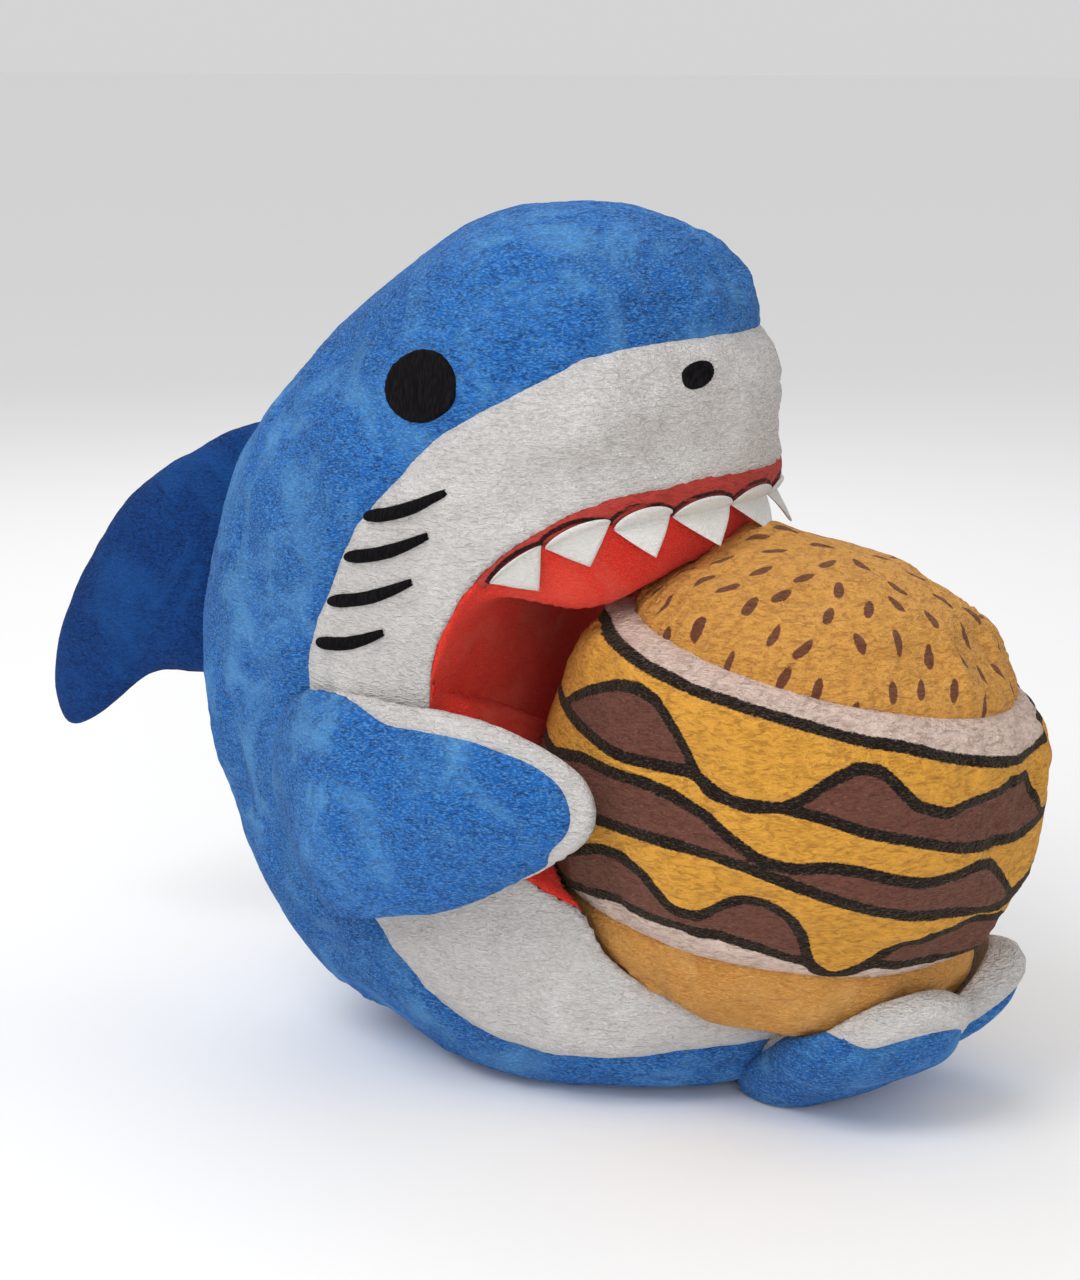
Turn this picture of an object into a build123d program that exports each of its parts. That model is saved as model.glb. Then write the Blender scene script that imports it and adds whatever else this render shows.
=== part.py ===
from build123d import *
import os
from math import cos, radians, sin, sqrt

# Plush shark with a plush burger in its mouth. Millimetres, +Z up, the shark faces -Y, mirror plane X = 0.

# ---- driving dimensions ----
CLOTH = 2.0          # thickness of a plush panel with its pile
SEWN_GAP = 0.6       # air between a pectoral fin and what it lies against
ROOT_GAP = 1.6       # air at the sewn root of the dorsal fin and the tail flukes
STITCH = 1.0         # height of the satin stitching above the plush

# torso: height of each level, its front, its rear and its half width
TORSO_LEVELS = (
    (0, -70, 8, 31),
    (5, -87, 21, 44),
    (13, -97, 34, 52),
    (26, -101, 49, 57),
    (45, -93, 62, 60),
    (70, -85, 72, 62),
    (95, -78, 75, 63),
    (125, -75, 70, 63),
    (152, -75, 58, 61),
    (173, -74, 40, 56),
    (191, -67, 18, 46),
    (201, -57, 5, 34),
    (207, -45, -8, 20),
    (209, -34, -18, 9),
)
MOUTH_Y, MOUTH_Z = -85, 98            # middle of the open mouth, from the side
MOUTH_DEPTH, MOUTH_RISE = 62, 51      # its half length and half height at the cheeks
THROAT_EXTRA = 5                      # how much deeper it is on the mirror plane
LINING_FOLD_Z = 95                    # height of the seam between the two mouth linings
GUM_WIDTH = 8                         # width of the pink strip behind the upper lip
FACE_BOTTOM_Z = 71                    # where the face panel meets the belly panel, under the fin

# blue and white meet along this line, seen from the side (y, z)
COLOUR_SEAM = (
    (-76, 183), (-55, 180), (-34, 168), (-20, 160), (-10, 150), (1, 137), (9, 121), (15, 108),
    (16, 95), (15, 75), (9, 55), (-2, 40), (-14, 24), (-32, 14), (-52, 11), (-76, 14), (-112, 17),
)

BURGER_Y, BURGER_Z, BURGER_TILT = -84, 74, 14
BUN_RADIUS, BAND_RADIUS, BAND_HALF = 54, 58.5, 32
DOME_TOP, BOTTOM_DEPTH = 57, 50

TOOTH_BASE, CORNER_TOOTH_BASE, TOOTH_LENGTH, TOOTH_FELT = 16.5, 13.5, 12.5, 1.2
LEAN = 0.25                            # how far the teeth lean in towards the throat
TOOTH_ANGLES = (19, 34.5, 48.5, 61)    # where each tooth beside the middle one sits around the upper lip
LIP_MID_Y, LIP_DEPTH, LIP_HALF_WIDTH = -5, 70, 62

EYE_RADIUS = 8.7
EYE_AT = (54.5, -15, 171)
NOSTRIL_AT = (22, -70, 174)
NOSTRIL_SIZE = (8.5, 6.0)
GILL_LINES = (
    ((-3, 141), (-24, 148)),
    ((2.5, 131), (-19, 137.5)),
    ((7.5, 120), (-15, 126.5)),
    ((10.5, 110), (-7.5, 114)),
)
GILL_THREAD = 2.2

PECTORAL_OUTLINE = (
    (16, 98), (-11, 100), (-41, 97), (-57, 92), (-66, 86), (-68, 78),
    (-58, 67), (-33, 53), (-10, 46), (15, 47), (32, 69),
)
PECTORAL_MID_X, PECTORAL_HALF = 66, 10
DORSAL_OUTLINE = (
    (62, 152), (96, 142), (120, 124), (136, 100), (144.2, 76),
    (140, 61), (127, 66), (108, 79), (78, 84), (66, 118),
)
DORSAL_HALF = 8
FLUKE_OUTLINE = (    # in the fluke's own sloping plane: across, and back from its root
    (-7, 2), (-6.5, -30), (-12, -43), (-23, -48), (-36, -42), (-44, -26), (-40, -8), (-27, 4), (-14, 6),
)
FLUKE_ROOT_Y, FLUKE_ROOT_Z = -94, 2.5
FLUKE_SLOPE_FORWARD, FLUKE_SLOPE_OUTWARD = 0.45, 0.32    # the flukes curl up in front of the burger
FLUKE_HALF_UNDER, FLUKE_HALF_TOP = 10, 4
FLOOR_CLEARANCE = 1.0

# how a plump fin narrows away from its middle plane: share of its half thickness, share of its outline
PLUMPNESS = ((0, 1.0), (0.5, 0.9), (0.86, 0.62), (1, 0.3))

os.makedirs("parts", exist_ok=True)


def keep(part, name):
    """Label a finished piece and write its file."""
    part.label = name
    export_step(part, f"parts/{name}.step")


def keep_pair(part, thing, panel):
    """Write a right-hand piece and its mirror image."""
    keep(part, f"{thing}_right_{panel}")
    keep(mirrored(part), f"{thing}_left_{panel}")


def torso_form(inset):
    """The whole torso, mouth still closed, with its surface moved in by inset."""
    with BuildPart() as form:
        for z, front, rear, half in TORSO_LEVELS:
            if min(half, (rear - front) / 2) - inset < 3:
                continue
            lift = inset if z == 0 else (-inset if z == TORSO_LEVELS[-1][0] else 0)
            with BuildSketch(Plane.XY.offset(z + lift)):
                with Locations((0, (front + rear) / 2)):
                    Ellipse(half - inset, (rear - front) / 2 - inset)
        loft()
    return form.part


def mouth_form(grow):
    """The open mouth as a solid across the whole head, its surface moved out by grow."""
    with BuildPart() as form:
        for x in (-80, -55, 0, 55, 80):
            deeper = THROAT_EXTRA * (1 - (x / 80) ** 2)
            with BuildSketch(Plane.YZ.offset(x)):
                with Locations((MOUTH_Y, MOUTH_Z)):
                    Ellipse(MOUTH_DEPTH + deeper + grow, MOUTH_RISE + grow)
        loft()
    return form.part


def burger_form(grow):
    """The whole burger in its place, its surface moved out by grow."""
    bun, band = BUN_RADIUS + grow, BAND_RADIUS + grow
    top, bottom = DOME_TOP + grow, -BOTTOM_DEPTH - grow
    with BuildPart() as form:
        with BuildSketch(Plane.XZ):
            with BuildLine():
                Spline((0, top), (0.42 * bun, top - 3), (0.72 * bun, top - 10), (0.93 * bun, top - 20), (bun, BAND_HALF))
                Spline((bun, BAND_HALF), (band, 0), (bun, -BAND_HALF))
                Spline((bun, -BAND_HALF), (0.92 * bun, bottom + 10), (0.66 * bun, bottom + 3.5), (0, bottom))
                Line((0, bottom), (0, top))
            make_face()
        revolve(axis=Axis.Z)
    return form.part.moved(Location((0, BURGER_Y, BURGER_Z), (BURGER_TILT, 0, 0)))


def white_region():
    """Everything in front of the blue and white seam, as a solid across the toy."""
    with BuildPart() as region:
        with BuildSketch(Plane.YZ):
            with BuildLine():
                Spline(*COLOUR_SEAM)
                Polyline(COLOUR_SEAM[-1], (-220, 12), (-220, 178), COLOUR_SEAM[0])
            make_face()
        extrude(amount=120, both=True)
    return region.part


def half_pillow(outline, plane, half, way, inset=0.0):
    """One plump half of a fin, from its middle plane out, thin at its sewn edge."""
    across = [p[0] for p in outline]
    along = [p[1] for p in outline]
    middle = ((min(across) + max(across)) / 2, (min(along) + max(along)) / 2)
    reach = min(max(across) - min(across), max(along) - min(along)) / 2
    with BuildPart() as form:
        for share, size in PLUMPNESS:
            size -= inset / reach
            points = [tuple(m + (p - m) * size for m, p in zip(middle, at)) for at in outline]
            with BuildSketch(plane.offset(way * share * (half - inset))):
                with BuildLine():
                    Spline(*points, periodic=True)
                make_face()
        loft()
    return form.part


def fin(outline, plane, halves, clear):
    """The two panels and the stuffing of a fin, each kept out of the clear forms."""
    made = {}
    with BuildPart() as core:
        for way, half in zip((-1, 1), halves):
            add(half_pillow(outline, plane, half, way, CLOTH))
        for form in clear:
            add(form, mode=Mode.SUBTRACT)
    for way, half in zip((-1, 1), halves):
        shell = piece(half_pillow(outline, plane, half, way), cut=(half_pillow(outline, plane, half, way, CLOTH),))
        made[way] = piece(shell.part, cut=clear).part
    return made[-1], made[1], core.part


def slab(low, high):
    """A plain box between two corners, used to divide the cloth."""
    size = [b - a for a, b in zip(low, high)]
    with BuildPart() as box:
        with Locations([tuple((a + b) / 2 for a, b in zip(low, high))]):
            Box(*size)
    return box.part


def piece(base, cut=(), within=()):
    """A piece of the base form, less the cut forms and kept inside the within forms."""
    with BuildPart() as made:
        add(base)
        for form in within:
            add(form, mode=Mode.INTERSECT)
        for form in cut:
            add(form, mode=Mode.SUBTRACT)
    return made


def mirrored(form):
    """The same form on the other side of the mirror plane."""
    with BuildPart(mode=Mode.PRIVATE) as other:
        add(form)
        mirror(about=Plane.YZ, mode=Mode.REPLACE)
    return other.part


# ---- shared forms ----
torso = torso_form(0)
torso_core = torso_form(CLOTH)
mouth = mouth_form(0)
mouth_back = mouth_form(CLOTH)
burger = burger_form(0)
white = white_region()
right_side = slab((-120, -200, -20), (0, 200, 240))
left_side = slab((0, -200, -20), (120, 200, 240))
upper_face = slab((-120, -200, FACE_BOTTOM_Z), (120, 200, 240))
lower_face = slab((-120, -200, -20), (120, 200, FACE_BOTTOM_Z))
above_fold = slab((-120, -200, LINING_FOLD_Z), (120, 200, 240))
below_fold = slab((-120, -200, -20), (120, 200, LINING_FOLD_Z))

# ---- torso: stuffing, plush panels, mouth linings ----
torso_stuffing = piece(torso_core, cut=(mouth_back, burger))
keep(torso_stuffing.part, "torso_stuffing")

back_panel_right = piece(torso, cut=(torso_core, mouth_back, burger, white), within=(right_side,))
keep(back_panel_right.part, "back_panel_right")
back_panel_left = piece(torso, cut=(torso_core, mouth_back, burger, white), within=(left_side,))
keep(back_panel_left.part, "back_panel_left")
face_panel = piece(torso, cut=(torso_core, mouth_back, burger), within=(white, upper_face))
keep(face_panel.part, "face_panel")
belly_panel = piece(torso, cut=(torso_core, mouth_back, burger), within=(white, lower_face))
keep(belly_panel.part, "belly_panel")

behind_gum = torso_form(GUM_WIDTH)
mouth_lining_upper = piece(mouth_back, cut=(mouth, burger), within=(behind_gum, above_fold))
keep(mouth_lining_upper.part, "mouth_lining_upper")
mouth_lining_lower = piece(mouth_back, cut=(mouth, burger), within=(torso, below_fold))
keep(mouth_lining_lower.part, "mouth_lining_lower")
gum_strip = piece(mouth_back, cut=(mouth, burger, behind_gum), within=(torso, above_fold))
keep(gum_strip.part, "gum_strip")


# ---- felt teeth along the upper lip ----
def lip_point(angle):
    """A point of the upper lip line; the angle is measured around the head from the snout."""
    x = LIP_HALF_WIDTH * sin(radians(angle))
    y = LIP_MID_Y - LIP_DEPTH * cos(radians(angle))
    share = (y - MOUTH_Y) / (MOUTH_DEPTH + THROAT_EXTRA / 2)
    return Vector(x, y, MOUTH_Z + MOUTH_RISE * sqrt(max(0.0, 1 - share * share)))


def tooth(angle, base=TOOTH_BASE):
    """A felt triangle hanging from the gum strip, its base along the lip."""
    here = lip_point(angle)
    along = (lip_point(angle + 5) - lip_point(angle - 5)).normalized()
    outward = Vector(sin(radians(angle)), -cos(radians(angle)), 0)
    outward = (outward - along * outward.dot(along)).normalized()
    face = (outward + along.cross(outward) * LEAN * (1 if along.cross(outward).Z < 0 else -1)).normalized()
    seat = Plane(origin=here - outward * 5.0, x_dir=along, z_dir=face)
    down = -1 if seat.y_dir.Z > 0 else 1
    with BuildPart() as made:
        with BuildSketch(seat):
            Polygon((-base / 2, -3 * down), (base / 2, -3 * down), (0, TOOTH_LENGTH * down), align=None)
        extrude(amount=TOOTH_FELT / 2, both=True)
        add(mouth, mode=Mode.INTERSECT)
        add(burger, mode=Mode.SUBTRACT)
    return made


keep(tooth(0).part, "tooth_middle")
for side, way in (("right", -1), ("left", 1)):
    for number, angle in enumerate(TOOTH_ANGLES, 1):
        base = CORNER_TOOTH_BASE if number == len(TOOTH_ANGLES) else TOOTH_BASE
        keep(tooth(way * angle, base).part, f"tooth_{side}_{number}")

# ---- embroidery: a thin layer just above the plush ----
stitch_layer = piece(torso_form(-STITCH), cut=(torso,)).part


def embroidery(cutter, way):
    """The part of the stitch layer inside a cutter drawn on the right side, or its mirror image."""
    return piece(stitch_layer, within=(cutter if way < 0 else mirrored(cutter),))


eye_plane = Plane(origin=(-EYE_AT[0], EYE_AT[1], EYE_AT[2]), x_dir=(0, 1, 0), z_dir=(-0.87, -0.05, 0.49))
with BuildPart() as eye_cutter:
    with BuildSketch(eye_plane):
        Circle(EYE_RADIUS)
    extrude(amount=12, both=True)

nostril_origin = (-NOSTRIL_AT[0], NOSTRIL_AT[1], NOSTRIL_AT[2])
nostril_plane = Plane(origin=nostril_origin, x_dir=(-0.93, 0.32, -0.2), z_dir=(-0.35, -0.9, 0.2))
with BuildPart() as nostril_cutter:
    with BuildSketch(nostril_plane):
        Ellipse(NOSTRIL_SIZE[0] / 2, NOSTRIL_SIZE[1] / 2)
    extrude(amount=8, both=True)

with BuildPart() as gill_cutter:
    with BuildSketch(Plane.YZ.offset(-70)):
        for start, end in GILL_LINES:
            with BuildLine() as thread:
                Line(start, end)
            trace(line_width=GILL_THREAD)
    extrude(amount=30)

for side, way in (("right", -1), ("left", 1)):
    keep(embroidery(eye_cutter.part, way).part, f"eye_{side}")
    keep(embroidery(nostril_cutter.part, way).part, f"nostril_{side}")
    keep(embroidery(gill_cutter.part, way).part, f"gill_stitches_{side}")

# ---- burger: bun dome, printed side band, bottom bun, stuffing ----
burger_core = burger_form(-CLOTH)
burger_place = Location((0, BURGER_Y, BURGER_Z), (BURGER_TILT, 0, 0))
above_band = slab((-90, -90, BAND_HALF), (90, 90, 90)).moved(burger_place)
around_band = slab((-90, -90, -BAND_HALF), (90, 90, BAND_HALF)).moved(burger_place)
below_band = slab((-90, -90, -90), (90, 90, -BAND_HALF)).moved(burger_place)
bun_top_panel = piece(burger, cut=(burger_core,), within=(above_band,))
keep(bun_top_panel.part, "bun_top_panel")
side_band_panel = piece(burger, cut=(burger_core,), within=(around_band,))
keep(side_band_panel.part, "side_band_panel")
bun_bottom_panel = piece(burger, cut=(burger_core,), within=(below_band,))
keep(bun_bottom_panel.part, "bun_bottom_panel")
burger_stuffing = piece(burger_core)
keep(burger_stuffing.part, "burger_stuffing")

# ---- fins: two panels and stuffing each, clear of the torso and the burger ----
torso_clear = torso_form(-SEWN_GAP)
burger_clear = burger_form(SEWN_GAP)
root_clear = torso_form(-ROOT_GAP)

beside = Plane.YZ.offset(-PECTORAL_MID_X)
outer, inner, core = fin(PECTORAL_OUTLINE, beside, (PECTORAL_HALF, PECTORAL_HALF), (torso_clear, burger_clear))
keep_pair(outer, "pectoral", "outer")
keep_pair(inner, "pectoral", "inner")
keep_pair(core, "pectoral", "stuffing")

right, left, core = fin(DORSAL_OUTLINE, Plane.YZ, (DORSAL_HALF, DORSAL_HALF), (root_clear,))
keep(right, "dorsal_panel_right")
keep(left, "dorsal_panel_left")
keep(core, "dorsal_stuffing")

below_floor = slab((-120, -220, -60), (120, 0, FLOOR_CLEARANCE))
plane = Plane(
    origin=(0, FLUKE_ROOT_Y, FLUKE_ROOT_Z), x_dir=(1, 0, -FLUKE_SLOPE_OUTWARD),
    z_dir=(FLUKE_SLOPE_OUTWARD, FLUKE_SLOPE_FORWARD, 1),
)
under, top, core = fin(FLUKE_OUTLINE, plane, (FLUKE_HALF_UNDER, FLUKE_HALF_TOP), (root_clear, burger_clear, below_floor))
keep_pair(top, "fluke", "top")
keep_pair(under, "fluke", "under")
keep_pair(core, "fluke", "stuffing")
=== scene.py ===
from math import cos, pi, radians, sin

import bpy
import numpy as np
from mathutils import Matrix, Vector, noise
from mathutils.bvhtree import BVHTree
from mathutils.kdtree import KDTree


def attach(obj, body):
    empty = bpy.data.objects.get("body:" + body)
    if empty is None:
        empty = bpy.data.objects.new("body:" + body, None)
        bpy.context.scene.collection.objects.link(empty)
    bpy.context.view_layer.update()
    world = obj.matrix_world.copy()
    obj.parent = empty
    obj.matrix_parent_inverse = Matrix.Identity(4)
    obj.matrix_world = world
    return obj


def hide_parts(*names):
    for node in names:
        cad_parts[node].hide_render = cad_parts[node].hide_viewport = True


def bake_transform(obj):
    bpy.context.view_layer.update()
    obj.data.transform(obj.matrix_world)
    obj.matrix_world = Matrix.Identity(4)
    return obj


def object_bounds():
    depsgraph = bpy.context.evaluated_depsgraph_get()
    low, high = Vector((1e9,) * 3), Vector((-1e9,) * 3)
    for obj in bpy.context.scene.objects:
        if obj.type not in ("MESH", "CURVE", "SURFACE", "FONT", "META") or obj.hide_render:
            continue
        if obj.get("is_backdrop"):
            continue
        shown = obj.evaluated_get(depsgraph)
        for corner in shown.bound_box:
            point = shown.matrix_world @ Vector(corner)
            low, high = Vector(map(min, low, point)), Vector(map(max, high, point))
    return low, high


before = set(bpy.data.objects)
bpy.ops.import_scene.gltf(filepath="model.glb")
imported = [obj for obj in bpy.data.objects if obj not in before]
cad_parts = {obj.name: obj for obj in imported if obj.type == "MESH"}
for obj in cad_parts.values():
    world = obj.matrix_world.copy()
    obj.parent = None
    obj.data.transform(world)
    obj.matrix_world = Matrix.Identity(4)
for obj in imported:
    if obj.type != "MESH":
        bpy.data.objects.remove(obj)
CAD_LOW, CAD_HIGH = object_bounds()
MM = 0.001
ROOT = "shark_and_burger"
rng = np.random.default_rng(7)

# ------------------------------------------------------------------ sizes, in millimetres, as in the CAD
TORSO_LEVELS = (
    (0, -70, 8, 31), (5, -87, 21, 44), (13, -97, 34, 52), (26, -101, 49, 57), (45, -93, 62, 60),
    (70, -85, 72, 62), (95, -78, 75, 63), (125, -75, 70, 63), (152, -75, 58, 61), (173, -74, 40, 56),
    (191, -67, 18, 46), (201, -57, 5, 34), (207, -45, -8, 20), (209, -34, -18, 9),
)
MOUTH_Y, MOUTH_Z, MOUTH_DEPTH, MOUTH_RISE, THROAT_EXTRA = -85, 98, 62, 51, 5
FACE_BOTTOM_Z = 71
COLOUR_SEAM = (
    (-76, 183), (-55, 180), (-34, 168), (-20, 160), (-10, 150), (1, 137), (9, 121), (15, 108),
    (16, 95), (15, 75), (9, 55), (-2, 40), (-14, 24), (-32, 14), (-52, 11), (-76, 14), (-112, 17),
)
BURGER_AT, BURGER_TILT = np.array([0.0, -84.0, 74.0]), radians(14)
LIP_MID_Y, LIP_DEPTH, LIP_HALF_WIDTH = -5, 70, 62
TOOTH_CUSPS = (-9.6, 9.6, 27.5, 42.0, 56.0, 66.5)
PECTORAL_OUTLINE = (
    (16, 98), (-11, 100), (-41, 97), (-57, 92), (-66, 86), (-68, 78), (-58, 67), (-33, 53), (-10, 46), (15, 47), (32, 69),
)
DORSAL_OUTLINE = (
    (62, 152), (96, 142), (120, 124), (136, 100), (144.2, 76), (140, 61), (127, 66), (108, 79), (78, 84), (66, 118),
)
FLUKE_OUTLINE = (
    (-5, 14), (-5, -30), (-11, -43), (-22, -49), (-35, -44), (-43, -28), (-41, -13), (-33, -1), (-24, 10), (-13, 17),
)
FLUKE_ROOT = (-94, 4.5)
FLUKE_SLOPE_FORWARD, FLUKE_SLOPE_OUTWARD = 0.50, 0.32
FLUKE_UNDER, FLUKE_TOP = 11.0, 9.0


# ------------------------------------------------------------------ curves and fields
def cubic(t, values, at, periodic=False):
    """Smooth cubic interpolation through values at knots t."""
    t, values = np.asarray(t, float), np.asarray(values, float)
    if periodic:
        n = len(t) - 1
        t = np.concatenate([t[:-1] - t[-1], t, t[1:] + t[-1]])
        values = np.concatenate([values[:-1], values, values[1:]])
        assert n > 0
    h = np.diff(t)
    size = len(t)
    a = np.eye(size)
    b = np.zeros((size,) + values.shape[1:])
    for i in range(1, size - 1):
        a[i, i - 1:i + 2] = h[i - 1], 2 * (h[i - 1] + h[i]), h[i]
        b[i] = 6 * ((values[i + 1] - values[i]) / h[i] - (values[i] - values[i - 1]) / h[i - 1])
    m = np.linalg.solve(a, b)
    at = np.asarray(at, float)
    k = np.clip(np.searchsorted(t, at, side="right") - 1, 0, size - 2)
    x = at - t[k]
    if values.ndim > 1:
        x = x[:, None]
        hk = h[k][:, None]
    else:
        hk = h[k]
    lo, hi, ml, mh = values[k], values[k + 1], m[k], m[k + 1]
    return (ml * (hk - x) ** 3 + mh * x ** 3) / (6 * hk) + (lo / hk - ml * hk / 6) * (hk - x) + (hi / hk - mh * hk / 6) * x


def closed_outline(points, count):
    """A smooth closed outline through points, evenly divided."""
    p = np.array(points + (points[0],), float)
    t = np.concatenate([[0], np.cumsum(np.linalg.norm(np.diff(p, axis=0), axis=1))])
    return cubic(t, p, np.linspace(0, t[-1], count, endpoint=False), periodic=True)


def smooth(x, low, high):
    """Smooth step from 0 at low to 1 at high."""
    t = np.clip((np.asarray(x, float) - low) / (high - low), 0, 1)
    return t * t * (3 - 2 * t)


LEVELS = np.array(TORSO_LEVELS, float)


def torso_level(z):
    """Middle y, half depth and half width of the torso at height z."""
    mid = np.interp(z, LEVELS[:, 0], (LEVELS[:, 1] + LEVELS[:, 2]) / 2)
    deep = np.interp(z, LEVELS[:, 0], (LEVELS[:, 2] - LEVELS[:, 1]) / 2)
    wide = np.interp(z, LEVELS[:, 0], LEVELS[:, 3])
    return mid, deep, wide


def below_torso_skin(p):
    """How far points lie inside the torso's outer form."""
    mid, deep, wide = torso_level(p[:, 2])
    x, y = p[:, 0] / wide, (p[:, 1] - mid) / deep
    r = np.maximum(np.hypot(x, y), 1e-6)
    slope = np.hypot(x / wide, y / deep) / r
    return (1 - r) / np.maximum(slope, 1e-6)


def outside_mouth(p):
    """How far points lie outside the form of the open mouth."""
    a = MOUTH_DEPTH + THROAT_EXTRA * (1 - np.clip(p[:, 0] / 80, -1, 1) ** 2)
    x, y = (p[:, 1] - MOUTH_Y) / a, (p[:, 2] - MOUTH_Z) / MOUTH_RISE
    r = np.maximum(np.hypot(x, y), 1e-6)
    slope = np.hypot(x / a, y / MOUTH_RISE) / r
    return (r - 1) / np.maximum(slope, 1e-6)


def inside_curve(points, curve, closing):
    """Signed distance of 2D points to an open curve; positive on the side that closing encloses."""
    a, b = curve[:-1], curve[1:]
    best = np.full(len(points), 1e9)
    for i in range(len(a)):
        d = b[i] - a[i]
        t = np.clip(((points - a[i]) @ d) / (d @ d), 0, 1)
        best = np.minimum(best, np.linalg.norm(points - a[i] - t[:, None] * d, axis=1))
    ring = np.concatenate([curve, closing])
    inside = np.zeros(len(points), bool)
    for p, q in zip(ring, np.roll(ring, -1, axis=0)):
        crosses = (p[1] > points[:, 1]) != (q[1] > points[:, 1])
        at = p[0] + (points[:, 1] - p[1]) * (q[0] - p[0]) / (q[1] - p[1] + 1e-12)
        inside ^= crosses & (points[:, 0] < at)
    return np.where(inside, best, -best)


_seam = np.array(COLOUR_SEAM, float)
_knots = np.concatenate([[0], np.cumsum(np.linalg.norm(np.diff(_seam, axis=0), axis=1))])
SEAM_CURVE = cubic(_knots, _seam, np.linspace(0, _knots[-1], 120))


def in_white(p):
    return inside_curve(p[:, 1:3], SEAM_CURVE, np.array([[-220, 17], [-220, 183]], float))


# ------------------------------------------------------------------ meshes
def grid_faces(rows, cols, wrap=True):
    """Quads of a grid whose columns close on themselves if wrap."""
    last = cols if wrap else cols - 1
    r, c = np.meshgrid(np.arange(rows - 1), np.arange(last), indexing="ij")
    n = (c + 1) % cols
    return np.stack([r * cols + c, r * cols + n, (r + 1) * cols + n, (r + 1) * cols + c], -1).reshape(-1, 4)


def new_object(name, verts, faces, smooth_shade=True):
    """An object from vertices in millimetres and a list of faces."""
    mesh = bpy.data.meshes.new(name)
    mesh.from_pydata((np.asarray(verts, float) * MM).tolist(), [], [list(map(int, f)) for f in faces])
    mesh.validate()
    mesh.update()
    ob = bpy.data.objects.new(name, mesh)
    bpy.context.scene.collection.objects.link(ob)
    if smooth_shade:
        mesh.polygons.foreach_set("use_smooth", [True] * len(mesh.polygons))
    return ob


def arrays(ob):
    """Vertices in millimetres and quads or triangles of an object's mesh."""
    mesh = ob.data
    co = np.zeros(len(mesh.vertices) * 3)
    mesh.vertices.foreach_get("co", co)
    return co.reshape(-1, 3) / MM, [list(p.vertices) for p in mesh.polygons]


def vertex_normals(verts, faces):
    f4 = np.array([f if len(f) == 4 else f + f[-1:] for f in faces])
    n = np.cross(verts[f4[:, 2]] - verts[f4[:, 0]], verts[f4[:, 3]] - verts[f4[:, 1]])
    out = np.zeros_like(verts)
    for k in range(4):
        np.add.at(out, f4[:, k], n)
    return out / np.maximum(np.linalg.norm(out, axis=1, keepdims=True), 1e-9)


def relax(verts, faces, times, share=0.5, pinned=None):
    """Evens out a mesh a little, keeping its size."""
    e = set()
    for f in faces:
        for a, b in zip(f, f[1:] + f[:1]):
            e.add((min(a, b), max(a, b)))
    e = np.array(sorted(e))
    count = np.bincount(e.ravel(), minlength=len(verts)).astype(float)[:, None]
    for k in range(times):
        for step in (share, -share * 1.03):
            total = np.zeros_like(verts)
            np.add.at(total, e[:, 0], verts[e[:, 1]])
            np.add.at(total, e[:, 1], verts[e[:, 0]])
            verts = verts + step * (total / np.maximum(count, 1) - verts)
    return verts


def applied(ob, drop=True):
    """The object's mesh with its modifiers applied."""
    deps = bpy.context.evaluated_depsgraph_get()
    mesh = bpy.data.meshes.new_from_object(ob.evaluated_get(deps))
    ob.modifiers.clear()
    old = ob.data
    ob.data = mesh
    bpy.data.meshes.remove(old)
    return ob


def attribute(ob, name, values):
    """A float value per vertex that the materials can read."""
    layer = ob.data.attributes.new(name, "FLOAT", "POINT")
    layer.data.foreach_set("value", np.asarray(values, np.float32))


def lumps(verts, size, amount, seed):
    """Soft noise per vertex, in millimetres."""
    s = 1.0 / size
    return np.array([noise.noise(Vector((x * s + seed, y * s, z * s))) for x, y, z in verts]) * amount


def simulated_push(verts, faces, cell, pinned, cap, grow=0.06, frames=16):
    """Blows the form up as cloth that is held at its seams, and gives its movement as a function of place."""
    ob = new_object("cloth_form", verts, faces)
    voxel = ob.modifiers.new("even", "REMESH")
    voxel.mode = "VOXEL"
    voxel.voxel_size = cell * MM
    applied(ob)
    start, sides = arrays(ob)
    hold = pinned(start)
    group = ob.vertex_groups.new(name="seams")
    for index, weight in enumerate(hold):
        group.add([index], float(weight), "REPLACE")
    cloth = ob.modifiers.new("cloth", "CLOTH")
    cloth.settings.quality = 5
    cloth.settings.mass = 0.25
    cloth.settings.tension_stiffness = 12
    cloth.settings.compression_stiffness = 12
    cloth.settings.bending_stiffness = 0.4
    cloth.settings.use_pressure = True
    cloth.settings.uniform_pressure_force = 4
    cloth.settings.vertex_group_mass = "seams"
    cloth.settings.shrink_min = -grow
    cloth.settings.effector_weights.gravity = 0
    cloth.point_cache.frame_end = frames
    for step in range(1, frames + 1):
        bpy.context.scene.frame_set(step)
    applied(ob)
    moved, _ = arrays(ob)
    bpy.context.scene.frame_set(1)
    discard(ob)
    push = ((moved - start) * vertex_normals(start, sides)).sum(-1)
    push = np.clip(push - np.median(push), -cap, cap)
    tree = KDTree(len(start))
    for index, place in enumerate(start):
        tree.insert(place, index)
    tree.balance()

    def at(points):
        out = np.zeros(len(points))
        for k, place in enumerate(points):
            near = tree.find_n(place, 5)
            weights = np.array([1 / (d + 0.8) ** 2 for _, _, d in near])
            out[k] = (weights * push[[i for _, i, _ in near]]).sum() / weights.sum()
        return out
    return at


def discard(*objects):
    for ob in objects:
        mesh = ob.data
        bpy.data.objects.remove(ob)
        bpy.data.meshes.remove(mesh)


# ------------------------------------------------------------------ materials
def nodes_of(name):
    mat = bpy.data.materials.new(name)
    mat.use_nodes = True
    tree = mat.node_tree
    return mat, tree, tree.nodes["Principled BSDF"]


def node(tree, kind, **values):
    made = tree.nodes.new(kind)
    for key, value in values.items():
        if hasattr(made, key):
            setattr(made, key, value)
        else:
            made.inputs[key.replace("_", " ")].default_value = value
    return made


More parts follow.
